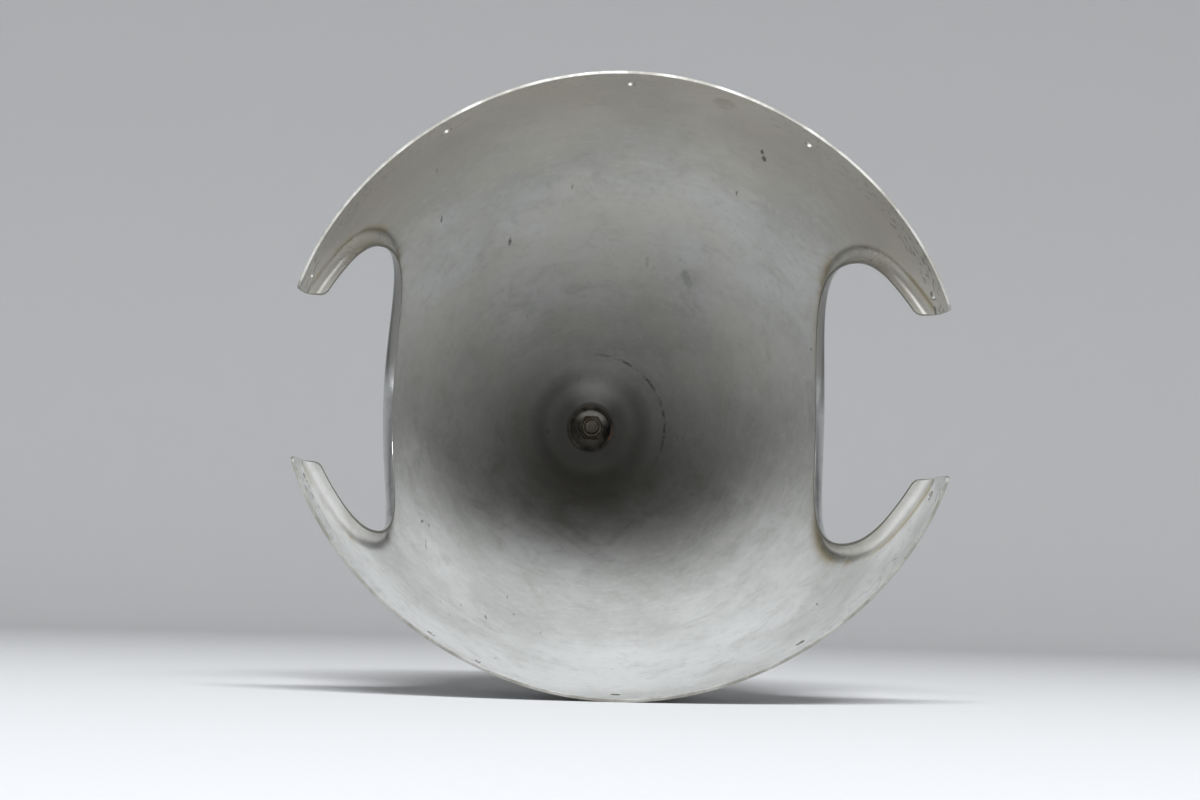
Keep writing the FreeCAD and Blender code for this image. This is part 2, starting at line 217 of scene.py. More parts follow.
def lip(t, share):
    """Points and normals of the rolled lip at outline length t, share 0..1 down from the skin.

    The ball's radius swings from the skin's normal to the upright face, then the face
    runs straight down to the free edge. Both are one length along the section.
    """
    t, share = np.broadcast_arrays(t, share)
    a, y = bend_start(t)
    contact, normal = skin(a, y)
    centre = contact - LIP_BEND * normal
    line, away = rolled_line(t)
    facing = np.concatenate([np.zeros_like(away[..., :1]), -away], -1)
    whole = np.arccos(np.clip((normal * facing).sum(-1), -1, 1))
    edge_a = angle_at(line[..., 0], line[..., 1], LIP_HEIGHT)
    edge_x = blank_radius(edge_a, line[..., 0], LIP_HEIGHT) * np.cos(edge_a)
    upright = centre[..., 0] - edge_x
    length = share * (LIP_BEND * whole + upright)
    turn = np.minimum(length / LIP_BEND, whole)
    direction = unit((np.sin(whole - turn) / np.sin(whole))[..., None] * normal
                     + (np.sin(turn) / np.sin(whole))[..., None] * facing)
    points = centre + LIP_BEND * direction
    points[..., 0] -= np.maximum(length - LIP_BEND * whole, 0)
    return points, direction


def lip_starts():
    """Outline length at which each line of the lip begins, beside the neck.

    The lines are cut by the neck plane, by the relief slit and by the round at the lip's
    corner, whose centre is LIP_CORNER / sin(half the corner's angle) along its middle line.
    """
    t = np.linspace(0, START_REACH, START_STEPS + 1)[:, None]
    points, _ = lip(t, SECTION[None])
    kept = (points[..., 2] >= NECK_HALF_WIDTH) & (points[..., 1] >= SEAT_Y + RELIEF_HALF)
    free = points[:, -1]
    first = int(np.searchsorted(free[:, 2], NECK_HALF_WIDTH))
    corner = free[first]
    along = np.array([0, math.cos(FLANK_SLOPE), math.sin(FLANK_SLOPE)])
    rise = free[first + RISE_STEPS] - corner
    edge = unit(np.array([rise @ along, rise[0]]))
    middle = unit(edge + np.array([0.0, 1.0]))
    half = 0.5 * math.acos(edge[1])
    centre = middle * LIP_CORNER / math.sin(half)
    height = LIP_CORNER / math.tan(half)
    flat = np.stack([(points - corner) @ along, points[..., 0] - corner[0]], -1)
    outside = np.linalg.norm(flat - centre, axis=-1) > LIP_CORNER
    kept &= ~(outside & (flat @ edge < height) & (flat[..., 1] < height))
    last_cut = kept.shape[0] - 1 - np.argmax(~kept[::-1], axis=0)
    return t[last_cut + 1, 0]


def grid_faces(rows, columns, keep=None):
    """Four-sided faces of a grid of points numbered row by row."""
    i, j = np.meshgrid(np.arange(rows - 1), np.arange(columns - 1), indexing="ij")
    low, high = i * columns + j, (i + 1) * columns + j
    faces = np.stack([low, low + 1, high + 1, high], -1)
    return faces.reshape(-1, 4) if keep is None else faces[keep]


def patch(points, normals, faces, bend=None):
    """A grid of points as plain lists: points, normals, faces and bend values."""
    if bend is None:
        bend = np.zeros(points.shape[:2])
    return points.reshape(-1, 3), normals.reshape(-1, 3), faces, bend.ravel()


def slit_share(z):
    """1 along the straight of the relief slit, then sqrt(1 - past^2) down to 0 round its end."""
    past = np.clip((z - SLIT_STRAIGHT) / RELIEF_HALF, 0, 1)
    return np.sqrt(1 - past ** 2)


def seat_columns(start_z):
    """Columns along the seat line, from the slit to the top hole.

    Gives each column's angle, its z (FAR away from the slit) and the column where the
    first hole's block begins.
    """
    slit_z = np.concatenate([start_z, SLIT_STRAIGHT + RELIEF_HALF * np.sin(CORNER_TURNS)])
    left, right = SCREW_ANGLES - HOLE_HALF, SCREW_ANGLES + HOLE_HALF
    parts = [angle_at(SEAT_Y, slit_z)]
    parts.append(np.linspace(parts[0][-1], left[0], 3)[1:])
    first = sum(len(p) for p in parts) - 1
    for i in range(TOP_HOLE):
        parts.append(np.linspace(left[i], right[i], HOLE_CELLS + 1)[1:])
        parts.append(np.linspace(right[i], left[i + 1], GAP_CELLS + 1)[1:])
    parts.append(np.linspace(left[TOP_HOLE], SCREW_ANGLES[TOP_HOLE], HOLE_CELLS // 2 + 1)[1:])
    columns = np.concatenate(parts)
    return columns, np.concatenate([slit_z, np.full(len(columns) - len(slit_z), FAR)]), first


def lip_patch(t):
    """The rolled lip. Its bend value runs from 1 at the skin to 2 at the free edge."""
    points, normals = lip(t, SECTION[None])
    return patch(points, normals, grid_faces(*t.shape), np.broadcast_to(1 + SECTION, t.shape))


def skin_patch(t, share, far_a):
    """Skin between the lip's bend and the top meridian, and on to the ring.

    Each row mixes the angle and y of its two ends in straight proportion, and the first
    rows bow round the slit. The bend value is exp(-distance from the bend / BEND_FADE).
    """
    near_a, near_y = bend_start(t[:, 0])
    contact_z = blank_radius(near_a[0], near_y[0]) * np.sin(near_a[0])
    columns, z, _ = seat_columns(np.array([contact_z]))
    columns = np.concatenate([[near_a[0]], columns[1:]])
    across = ((columns - columns[0]) / (0.5 * np.pi - columns[0]))[None]
    far_y = SEAT_Y + (RING_Y - SEAT_Y) * np.clip(share / RING_SHARE, 0, 1)
    a = (1 - across) * near_a[:, None] + across * far_a
    y = (1 - across) * near_y[:, None] + across * far_y
    seat = SEAT_Y + RELIEF_HALF * slit_share(z)
    seat[0] = near_y[0]
    y += (seat - y[0])[None] * (1 - share) ** SLIT_FADE
    points, normals = skin(a, y)
    bend = np.exp(-np.linalg.norm(points - points[:, :1], axis=-1) / BEND_FADE)
    return patch(points, normals, grid_faces(ROWS + 1, columns.size)[:, ::-1], bend)


def band_patch():
    """Rear band from the rim up to the seat line, less the blocks round the screw holes.

    The low rows are level. The high rows share out the height that is left under the slit
    or the seat line. Beside the neck the angles are drawn to its edge and rounded corner.
    """
    columns, z, first = seat_columns(NECK_HALF_WIDTH + NECK_STEPS)
    base = SCREW_ROW - HOLE_BLOCK
    low = np.concatenate([NECK_CORNER * (1 - np.cos(CORNER_TURNS)),
                          np.linspace(NECK_CORNER, base, BAND_ROWS + 1)[1:]])
    high = np.linspace(0, 1, HOLE_CELLS + 1)[1:, None]
    rows = len(low) + HOLE_CELLS
    neck_z = np.full(rows, NECK_HALF_WIDTH)
    neck_z[:len(CORNER_TURNS)] += NECK_CORNER * (1 - np.sin(CORNER_TURNS))
    reach = (SEAT_Y - RELIEF_HALF * slit_share(z))[None]
    y = np.concatenate([np.repeat(low[:, None], columns.size, 1), base + high * (reach - base)])
    neck_a = angle_at(y[:, 0], neck_z)[:, None]
    left = columns[first]
    part = np.clip((columns - columns[0]) / (left - columns[0]), 0, 1)[None]
    beside_neck = np.arange(columns.size)[None] <= first
    a = np.where(beside_neck, neck_a + part * (left - neck_a), columns[None])
    points, normals = skin(a, y)
    keep = np.ones((rows - 1, columns.size - 1), bool)
    second = first + HOLE_CELLS + GAP_CELLS
    for block in (slice(first, first + HOLE_CELLS), slice(second, second + HOLE_CELLS),
                  slice(-(HOLE_CELLS // 2), None)):
        keep[len(low) - 1:, block] = False
    return patch(points, normals, grid_faces(rows, columns.size, keep)[:, ::-1])


def hole_patch(i):
    """Skin round screw hole i, in rings that pass in straight lines from circle to square.

    The top hole stands on the mirror plane, so half of its block is made.
    """
    side = np.linspace(-1, 1, HOLE_CELLS + 1)[:-1]
    ones = np.ones(HOLE_CELLS)
    square = np.concatenate([
        np.stack([ones, side], -1), np.stack([-side, ones], -1),
        np.stack([-ones, -side], -1), np.stack([side, -ones], -1)])
    square = np.concatenate([square, square[:1]])
    if i == TOP_HOLE:
        start = HOLE_CELLS + HOLE_CELLS // 2
        square = square[start:start + 2 * HOLE_CELLS + 1]
    circle = SCREW_RADIUS * unit(square)
    flat = circle * (1 - HOLE_RINGS) + HOLE_BLOCK * square * HOLE_RINGS
    turn = flat[..., 0] * HOLE_HALF[i] / HOLE_BLOCK
    points, normals = skin(SCREW_ANGLES[i] + turn, SCREW_ROW + flat[..., 1])
    return patch(points, normals, grid_faces(len(HOLE_RINGS), len(square)))


def nose_patch(ring):
    """Front of the shell: the ring's angles carried forward along one meridian.

    The end of the sprung skin, the long arc, the blend arc, then the flat in to the bolt hole.
    """
    points, normals = skin(ring[None], np.linspace(RING_Y, SPRING_REACH, REACH_ROWS + 1)[:, None])
    first = math.asin((SPRING_REACH - ARC_Y) / OGIVE_RADIUS)
    last = math.atan2(BLEND_Y - ARC_Y, NOSE_FLAT_RADIUS - ARC_R)
    slope = np.linspace(first, last, ARC_ROWS + 1)[1:]
    blend = np.linspace(last, 0.5 * np.pi, BLEND_ROWS + 1)[1:]
    r = np.concatenate([ARC_R + OGIVE_RADIUS * np.cos(slope),
                        NOSE_FLAT_RADIUS + NOSE_BLEND_RADIUS * np.cos(blend),
                        np.linspace(NOSE_FLAT_RADIUS, BOLT_HOLE_RADIUS, FLAT_ROWS + 1)[1:]])
    y = np.concatenate([ARC_Y + OGIVE_RADIUS * np.sin(slope),
                        BLEND_Y + NOSE_BLEND_RADIUS * np.sin(blend),
                        np.full(FLAT_ROWS, NOSE_Y)])
    slope = np.concatenate([slope, blend, np.full(FLAT_ROWS, 0.5 * np.pi)])
    r, y, slope = r[:, None], y[:, None], slope[:, None]
    front = np.stack(np.broadcast_arrays(r * np.cos(ring), y, r * np.sin(ring)), -1)
    facing = np.stack(np.broadcast_arrays(
        np.cos(slope) * np.cos(ring), np.sin(slope), np.cos(slope) * np.sin(ring)), -1)
    points = np.concatenate([points, front])
    normals = np.concatenate([normals, facing])
    return patch(points, normals, grid_faces(len(points), ring.size))


def quarter_patches():
    """Patches of one quarter of the outer face, which meet point on point."""
    starts = lip_starts()
    share = np.linspace(0, 1, ROWS + 1)[:, None]
    t = starts[None] + (LINE_LENGTH - starts[None]) * share
    far_a = 0.5 * np.pi * np.clip(1 - (share - RING_SHARE) / (1 - RING_SHARE), 0, 1)
    ring = far_a[int(round(ROWS * RING_SHARE)):, 0]
    holes = [hole_patch(i) for i in range(len(SCREW_ANGLES))]
    return [lip_patch(t), skin_patch(t, share, far_a), band_patch(), *holes, nose_patch(ring)]


def outer_face():
    """Whole outer face: the quarter mirrored four ways, its shared points made one."""
    points, normals, faces, bend = [], [], [], []
    count = 0
    for p, n, f, b in quarter_patches():
        for sx, sz in ((1, 1), (-1, 1), (-1, -1), (1, -1)):
            flip = np.array([sx, 1, sz])
            points.append(p * flip)
            normals.append(n * flip)
            faces.append((f if sx * sz > 0 else f[:, ::-1]) + count)
            bend.append(b)
            count += len(p)
    points, normals, faces, bend = (np.concatenate(x) for x in (points, normals, faces, bend))
    place = np.round(points / WELD).astype(np.int64)
    _, first, same = np.unique(place, axis=0, return_index=True, return_inverse=True)
    return points[first], normals[first], same.ravel()[faces], bend[first]


def shell_mesh():
    """Whole sheet: the outer face, the inner face one sheet in along the normals, and edges.

    Each open edge is drawn back by EDGE_ROUND and closed by strips through four lines of
    points: half way round the outer corner, its end, and the same two for the inner one.
    """
    points, normals, faces, bend = outer_face()
    inner = points - SHEET * normals
    edges = np.concatenate([faces[:, [k, (k + 1) % 4]] for k in range(4)])
    key = edges[:, 0] * len(points) + edges[:, 1]
    back = edges[:, 1] * len(points) + edges[:, 0]
    rim = edges[~np.isin(key, back)]
    side = unit(np.cross(points[rim[:, 1]] - points[rim[:, 0]], normals[rim].sum(1)))
    away = np.zeros_like(points)
    np.add.at(away, rim[:, 0], side)
    np.add.at(away, rim[:, 1], side)
    loop = np.unique(rim)
    away = unit(away[loop])
    up = normals[loop]
    outer_edge, inner_edge = points[loop], inner[loop]
    slant = math.sqrt(0.5)
    near = EDGE_ROUND * (1 - slant)
    lines = [
        (outer_edge - near * away - near * up, slant * (away + up)),
        (outer_edge - EDGE_ROUND * up, away),
        (inner_edge + EDGE_ROUND * up, away),
        (inner_edge - near * away + near * up, slant * (away - up)),
    ]
    points[loop] -= EDGE_ROUND * away
    inner[loop] -= EDGE_ROUND * away
    total = len(points)
    place = np.zeros(total, int)
    place[loop] = np.arange(len(loop))
    order = [rim, *(2 * total + k * len(loop) + place[rim] for k in range(len(lines))), rim + total]
    strips = [np.stack([a[:, 1], a[:, 0], b[:, 0], b[:, 1]], -1) for a, b in zip(order, order[1:])]
    all_points = np.concatenate([points, inner] + [p for p, _ in lines])
    all_points[:, 1] = np.maximum(all_points[:, 1], 0)
    all_normals = np.concatenate([normals, -normals] + [n for _, n in lines])
    all_faces = np.concatenate([faces, faces[:, ::-1] + total] + strips)
    counts = (len(faces), len(faces), len(strips) * len(rim))
    finish = np.repeat([OUTSIDE, INSIDE, CUT_EDGE], counts)
    all_bend = np.concatenate([bend, bend, np.tile(bend[loop], len(lines))])
    return all_points, all_normals, all_faces, finish, all_bend


# ---- materials -----------------------------------------------------------
SATIN_DULL = (0.57, 0.571, 0.552)
SATIN_CLEAR = (0.725, 0.728, 0.72)
OXIDE_PATCH = (0.43, 0.425, 0.395)
BRIGHT_SPECK = (0.8, 0.8, 0.79)
DARK_SPECK = (0.39, 0.39, 0.37)
WARM_GRIME = (0.68, 0.64, 0.55)
TAN_GRIME = (0.44, 0.4, 0.33)
# Greasy film on the inside, also laid on as painted shade towards the nose and below it.
GREASE_AND_SHADE = (0.07, 0.067, 0.055)
# Greasy rings round the washer, deepened with painted shade and a painted contact shadow.
HUB_GREASE_AND_SHADE = (0.045, 0.042, 0.036)
SMUDGE_GREY = (0.14, 0.14, 0.11)
MARK_BLACK = (0.06, 0.055, 0.045)
BEND_STAIN = (0.4, 0.32, 0.165)
LIP_SATIN = (0.68, 0.665, 0.61)
POLISHED = (0.78, 0.785, 0.79)
POLISHED_HAZE = (0.70, 0.70, 0.69)
# Matt film on the lips' outer face, and painted dark reflection on their upper side.
LIP_DULL_AND_DARK_REFLECTION = (0.12, 0.115, 0.1)
EDGE_DARK = (0.3, 0.29, 0.26)
EDGE_SKIN = (0.48, 0.47, 0.44)
EDGE_LIP = (0.36, 0.35, 0.32)
RUST_BROWN = (0.14, 0.075, 0.045)
# Painted highlight on the upper side of the washer.
HIGHLIGHT_STEEL = (0.42, 0.41, 0.38)
HEAD_DULL = (0.44, 0.43, 0.4)
HEAD_CLEAR = (0.56, 0.55, 0.52)

# Reaches of y, z or a radius over which a finish grows from its least to its most, metres.
WARM_UPPER = (-0.05, 0.09)
TAN_UPPER = (0.0, 0.1)
TAN_NEAR_RIM = (0.12, 0.02)
# Greasy film towards the nose, partly dirt and partly painted shade of the deep nose.
FILM_AND_SHADE_TO_NOSE = (0.1, 0.287)
# Painted shade: the film grows darker downwards.
PAINTED_SHADE_DOWN = (0.045, -0.055)
# Painted highlight: a sector above the nose drawn lighter, standing in for the sheen of the turned
# metal.
SHEEN_ROUND_HUB = (0.08, 0.03)
# Darker rings round the washer: greasy dirt deepened with painted shade.
HUB_HALO = (0.062, 0.044)
HUB_OUTER = (0.041, 0.03)
HUB_INNER = (0.028, 0.019)
# Painted contact shadow right round the washer.
WASHER_CONTACT_SHADE = (0.021, 0.0155)
RING_EDGE = (0.0011, 0.0003)
DOT_EDGE = (0.0016, 0.0009)
DOT_ON_NOSE = (0.26, 0.27)
SCUFF_NEAR_RIM = (0.0225, 0.018)
SCUFF_ARMS = (0.12, 0.055)
# Painted dark reflection on the upper side of the lips' outer face.
LIP_DARK_REFLECTION_UPPER = (0.02, 0.055)
HEAD_OUTSIDE = (0.29, 0.293)
# Middles of marks and painted highlights by the angle round the axis, radians, where straight up is
# 1.57: a painted highlight above the nose, the broken ring scratch, and a painted highlight on the
#       washer.
SHEEN_TURN, RING_TURN, HIGHLIGHT_TURN = 1.5, 0.5, 1.35
# Reaches of the bend value: polish at a bend, the lip below it, and its cut edge.
BEND_POLISH = (0.5, 1.05)
LIP_SIDE = (0.9, 1.4)
LIP_EDGE = (0.5, 1.5)

# Marks on the inside, metres: a ring scratch's radius, the x and z of a dark dot near the
# nose, and small marks as middle, turn about Y and half sizes.
RING_SCRATCH = 0.0455
DOT_X, DOT_Z = -0.0268, -0.0026
DARK_MARKS = (
    ((0.0765, 0.0622, 0.1298), 0.67, (0.0019, 0.02, 0.0006)),
    ((0.0745, 0.0559, 0.1322), 0.67, (0.0013, 0.02, 0.0005)),
)
SMUDGES = (
    ((0.0503, 0.203, 0.0843), 1.0, (0.0065, 0.03, 0.0024)),
    ((0.0261, 0.204, 0.094), 1.4, (0.0035, 0.03, 0.0012)),
    ((0.0496, 0.0179, 0.1487), 0.3, (0.007, 0.008, 0.004)),
)


class Maker:
    """Short calls for the nodes of one material."""

    def __init__(self, name):
        self.mat = bpy.data.materials.new(name)
        self.mat.use_nodes = True
        self.tree = self.mat.node_tree
        self.tree.nodes.clear()
        out = self.add("ShaderNodeOutputMaterial")
        self.bsdf = self.add("ShaderNodeBsdfPrincipled")
        self.join(self.bsdf.outputs[0], out.inputs["Surface"])
        self.place = self.add("ShaderNodeTexCoord").outputs["Object"]

    def add(self, kind, **values):
        node = self.tree.nodes.new(kind)
        for key, value in values.items():
            setattr(node, key, value)
        return node

    def join(self, source, target):
        self.tree.links.new(source, target)

    def put(self, socket, value):
        if isinstance(value, bpy.types.NodeSocket):
            self.join(value, socket)
        elif isinstance(value, tuple) and len(value) == 3 and socket.type == "RGBA":
            socket.default_value = (*value, 1)
        else:
            socket.default_value = value

    def surface(self, **values):
        """Set or join the shader's sockets. An underscore stands for a space in a name."""
        for key, value in values.items():
            self.put(self.bsdf.inputs[key.replace("_", " ")], value)

    def math(self, kind, a, b=0.0):
        node = self.add("ShaderNodeMath", operation=kind)
        self.put(node.inputs[0], a)
        self.put(node.inputs[1], b)
        return node.outputs[0]

    def times(self, a, b):
        return self.math("MULTIPLY", a, b)

    def plus(self, a, b):
        return self.math("ADD", a, b)

    def less(self, a, b):
        return self.math("SUBTRACT", a, b)

    def off(self, value, middle):
        """Distance of a value from a middle, either way."""
        return self.math("ABSOLUTE", self.less(value, middle))

    def most(self, first, *others):
        """Largest of several values."""
        for other in others:
            first = self.math("MAXIMUM", first, other)
        return first

    def bend(self):
        """The shell's bend value: nears 1 at a lip's bend and is 2 at its free edge."""
        return self.add("ShaderNodeAttribute", attribute_name="bend").outputs["Fac"]

    def stretch(self, scale):
        """Place scaled along x, y and z, so that a noise on it is drawn out."""
        node = self.add("ShaderNodeMapping")
        self.join(self.place, node.inputs["Vector"])
        node.inputs["Scale"].default_value = scale
        return node.outputs[0]

    def noise(self, scale, detail=4.0, rough=0.55, where=None, distort=0.0):
        """Cloudy noise about 0.5. The scale is in waves a metre."""
        node = self.add("ShaderNodeTexNoise")
        self.put(node.inputs["Vector"], where or self.place)
        node.inputs["Scale"].default_value = scale
        node.inputs["Detail"].default_value = detail
        node.inputs["Roughness"].default_value = rough
        node.inputs["Distortion"].default_value = distort
        return node.outputs["Fac"]

    def band(self, value, low, high, to_low=0.0, to_high=1.0):
        """Smooth step of a value from to_low at low to to_high at high."""
        node = self.add("ShaderNodeMapRange", interpolation_type="SMOOTHSTEP")
        for socket, v in zip(node.inputs, (value, low, high, to_low, to_high)):
            self.put(socket, v)
        return node.outputs[0]

    def mix(self, share, a, b):
        """Colour a with a share of colour b laid over it."""
        node = self.add("ShaderNodeMix", data_type="RGBA")
        self.put(node.inputs["Factor"], share)
        colour_a, colour_b = [s for s in node.inputs if s.type == "RGBA"]
        self.put(colour_a, a)
        self.put(colour_b, b)
        return [s for s in node.outputs if s.type == "RGBA"][0]

    def bump(self, height, strength, distance, after=None):
        """Fine relief, laid over the relief given as after."""
        node = self.add("ShaderNodeBump")
        node.inputs["Strength"].default_value = strength
        node.inputs["Distance"].default_value = distance
        self.join(height, node.inputs["Height"])
        if after is not None:
            self.join(after, node.inputs["Normal"])
        return node.outputs[0]

    def cylinder(self):
        """x, y and z, the distance r from the thrust axis, and the angle round it."""
        split = self.add("ShaderNodeSeparateXYZ")
        self.join(self.place, split.inputs[0])
        x, y, z = split.outputs
        return x, y, z, self.length(x, z), self.math("ARCTAN2", z, x)

    def length(self, a, b):
        """sqrt(a^2 + b^2)"""
        return self.math("SQRT", self.plus(self.times(a, a), self.times(b, b)))

    def mark(self, centre, turned, half):
        """Share that is 1 inside an ellipsoid turned about Y and fades at its ragged skin."""
        node = self.add("ShaderNodeMapping", vector_type="TEXTURE")
        self.join(self.place, node.inputs["Vector"])
        node.inputs["Location"].default_value = centre
        node.inputs["Rotation"].default_value = (0.0, turned, 0.0)
        node.inputs["Scale"].default_value = half
        away = self.add("ShaderNodeVectorMath", operation="LENGTH")
        self.join(node.outputs[0], away.inputs[0])
        ragged = self.plus(away.outputs["Value"], self.noise(700.0, 3.0, 0.6))
        return self.band(ragged, 1.5, 1.2)

    def round_marks(self, across, scale, detail=3.0):
        """Noise drawn out round the axis, as a spinning tool leaves it.

        Its vector is the distance along the wall, y - r, then across times the cosine
        and sine of the angle, so a small across leaves few waves round.
        """
        x, y, z, r, _ = self.cylinder()
        join = self.add("ShaderNodeCombineXYZ")
        self.join(self.less(y, r), join.inputs[0])
        self.join(self.times(self.math("DIVIDE", x, r), across), join.inputs[1])
        self.join(self.times(self.math("DIVIDE", z, r), across), join.inputs[2])
        return self.noise(scale, detail, 0.6, join.outputs[0])


def satin_tone(m, where, marks, cloud, patches):
    """Bare satin sheet: clouds, oxide patches, specks, turned marks and thin grime.

    Warm grime lies on the upper wall and tan grime on the upper wall near the rim.
    """
    _, y, z, _, _ = where
    speck = m.noise(190.0, 5.0, 0.7)
    tone = m.mix(m.band(cloud, 0.38, 0.64), SATIN_DULL, SATIN_CLEAR)
    tone = m.mix(m.band(patches, 0.48, 0.74, 0.0, 0.5), tone, OXIDE_PATCH)
    tone = m.mix(m.band(speck, 0.5, 0.78, 0.0, 0.45), tone, BRIGHT_SPECK)
    tone = m.mix(m.band(speck, 0.48, 0.25, 0.0, 0.35), tone, DARK_SPECK)
    tone = m.mix(m.band(marks, 0.5, 0.72, 0.0, 0.2), tone, BRIGHT_SPECK)
    warm = m.times(m.band(z, *WARM_UPPER), m.band(m.noise(14.0, 4.0, 0.6), 0.4, 0.62))
    tone = m.mix(m.times(warm, 0.35), tone, WARM_GRIME)
    tan = m.times(m.band(y, *TAN_NEAR_RIM), m.band(z, *TAN_UPPER))
    return m.mix(m.times(tan, 0.65), tone, TAN_GRIME)


def grease_and_shade(m, where, patches):
    """Shares of the greasy film and of the darker greasy rings on the hub round the washer, with
    painted shade.

    The film thickens towards the nose, partly as dirt and partly as painted shade of the deep nose,
    and painted shade makes it darker downwards. A sector above the hub is drawn lighter as a
    painted highlight, and the innermost ring is a painted contact shadow round the washer.
    """
    _, y, z, r, turn = where
    depth = m.plus(y, m.times(m.less(patches, 0.5), 0.05))
    depth = m.plus(depth, m.times(m.math("MINIMUM", z, 0.0), 0.34))
    # Painted highlight: the film and rings are thinned in a sector above the nose.
    sheen_wedge = m.times(m.band(m.off(turn, SHEEN_TURN), 0.95, 0.1), m.band(r, *SHEEN_ROUND_HUB))
    left = m.less(1.0, m.times(sheen_wedge, 0.3))
    # The film towards the nose is partly dirt and partly painted shade; its growth downwards is
    # painted shade.
    film = m.times(m.band(depth, *FILM_AND_SHADE_TO_NOSE), m.band(z, *PAINTED_SHADE_DOWN, 0.45, 0.93))
    film = m.times(m.plus(film, m.band(r, *HUB_HALO, 0.0, 0.07)), left)
    # Rings round the washer: greasy dirt with painted shade; the innermost is a painted contact
    # shadow.
    hub = m.plus(m.band(r, *HUB_OUTER, 0.0, 0.7), m.band(r, *HUB_INNER, 0.0, 0.22))
    hub = m.most(m.times(hub, left), m.band(r, *WASHER_CONTACT_SHADE, 0.0, 0.95))
    return film, hub


def dark_marks(m, where):
    """Share of dark marks: a broken ring, a dot, scratches, scuffed arms and two nicks."""
    x, y, z, r, turn = where
    broken = m.times(m.band(m.noise(210.0, 4.0, 0.7), 0.44, 0.58),
                     m.band(m.off(turn, RING_TURN), 1.3, 0.5))
    ring = m.times(m.band(m.off(r, RING_SCRATCH), *RING_EDGE), broken)
    away = m.length(m.less(x, DOT_X), m.less(z, DOT_Z))
    dot = m.times(m.band(away, *DOT_EDGE), m.band(y, *DOT_ON_NOSE))
    scratch = m.times(m.band(m.noise(1.0, 3.0, 0.5, m.stretch((420.0, 60.0, 95.0))), 0.68, 0.74),
                      m.band(m.noise(21.0, 3.0, 0.5), 0.54, 0.64))
    seat = m.times(m.band(y, *SCUFF_NEAR_RIM), m.band(m.noise(30.0, 4.0, 0.6), 0.42, 0.56))
    scuff = m.times(m.band(m.round_marks(0.1, 420.0, 5.0), 0.52, 0.64), seat)
    scuff = m.times(scuff, m.band(m.math("ABSOLUTE", z), *SCUFF_ARMS, 0.25, 0.9))
    return m.most(ring, dot, scratch, scuff, *(m.mark(*nick) for nick in DARK_MARKS))


def inside_finish():
    """Spun aluminium left satin inside: turned marks, matt patches, greasy nose, stained bends,
    with painted shade round the nose and a painted highlight above it.

    The lips' bends are stained in places and polished, so turned marks fade out there.
    """
    m = Maker("satin_inside")
    where = m.cylinder()
    marks = m.round_marks(0.018, 170.0, 4.0)
    fine = m.round_marks(0.012, 1100.0)
    cloud = m.noise(8.0, 5.0, 0.6)
    patches = m.noise(34.0, 6.0, 0.68, distort=0.6)
    grain = m.noise(1100.0, 2.0)
    bend = m.bend()

    tone = satin_tone(m, where, marks, cloud, patches)
    film, hub = grease_and_shade(m, where, patches)
    # Greasy film, deepened with painted shade towards the nose and below it.
    tone = m.mix(film, tone, GREASE_AND_SHADE)
    # Darker rings round the washer, greasy dirt with painted shade and a painted contact shadow.
    tone = m.mix(hub, tone, HUB_GREASE_AND_SHADE)
    dark = dark_marks(m, where)
    smudge = m.most(*(m.mark(*one) for one in SMUDGES))
    tone = m.mix(m.times(smudge, m.band(patches, 0.4, 0.6, 0.08, 0.3)), tone, SMUDGE_GREY)
    tone = m.mix(m.times(dark, 0.75), tone, MARK_BLACK)
    stain = m.times(m.band(m.off(bend, 0.85), 0.65, 0.0),
                    m.band(m.noise(20.0, 5.0, 0.65), 0.42, 0.6))
    tone = m.mix(m.times(stain, 0.72), tone, BEND_STAIN)
    tone = m.mix(m.band(bend, *LIP_SIDE, 0.0, 0.4), tone, LIP_SATIN)

    polish = m.band(bend, *BEND_POLISH)
    still = m.less(1.0, polish)
    rough = m.plus(m.band(cloud, 0.3, 0.7, 0.45, 0.55),
                   m.times(m.band(fine, 0.3, 0.7, -0.04, 0.05), still))
    rough = m.less(m.plus(rough, m.times(film, 0.1)), m.times(polish, 0.2))
    height = m.bump(m.times(marks, still), 0.12, 0.0003)
    height = m.bump(m.times(fine, still), 0.15, 0.0001, height)
    height = m.bump(grain, 0.15, 0.00005, height)
    height = m.bump(dark, 0.2, 0.0001, height)
    m.surface(Base_Color=tone, Metallic=m.plus(0.55, m.times(polish, 0.15)),
              Roughness=rough, Normal=height)
    return m.mat


def outside_finish():
    """Polished aluminium, slightly hazed, with fine worn lines, a matt film on the lips in patches
    and a painted dark reflection on their upper side.
    """
    m = Maker("polished_outside")
    haze = m.noise(14.0, 5.0, 0.6)
    lines = m.round_marks(0.01, 700.0)
    _, _, z, _, _ = m.cylinder()
    # Painted dark reflection on the upper side of the lips, together with a matt film in patches.
    upper = m.band(m.plus(z, m.times(haze, 0.06)), *LIP_DARK_REFLECTION_UPPER)
    matt_film_and_reflection = m.most(m.band(m.noise(22.0, 5.0, 0.7), 0.45, 0.65, 0.1, 0.5), upper)
    dull_and_dark_reflection = m.times(m.band(m.bend(), *LIP_SIDE), matt_film_and_reflection)
    tone = m.mix(m.band(haze, 0.35, 0.7), POLISHED, POLISHED_HAZE)
    rough = m.plus(m.band(haze, 0.35, 0.7, 0.1, 0.2), m.band(lines, 0.4, 0.7, 0.0, 0.05))
    m.surface(Base_Color=m.mix(m.times(dull_and_dark_reflection, 0.85), tone, LIP_DULL_AND_DARK_REFLECTION), Metallic=1.0,
              Roughness=rough, Normal=m.bump(lines, 0.1, 0.00008))
    return m.mat


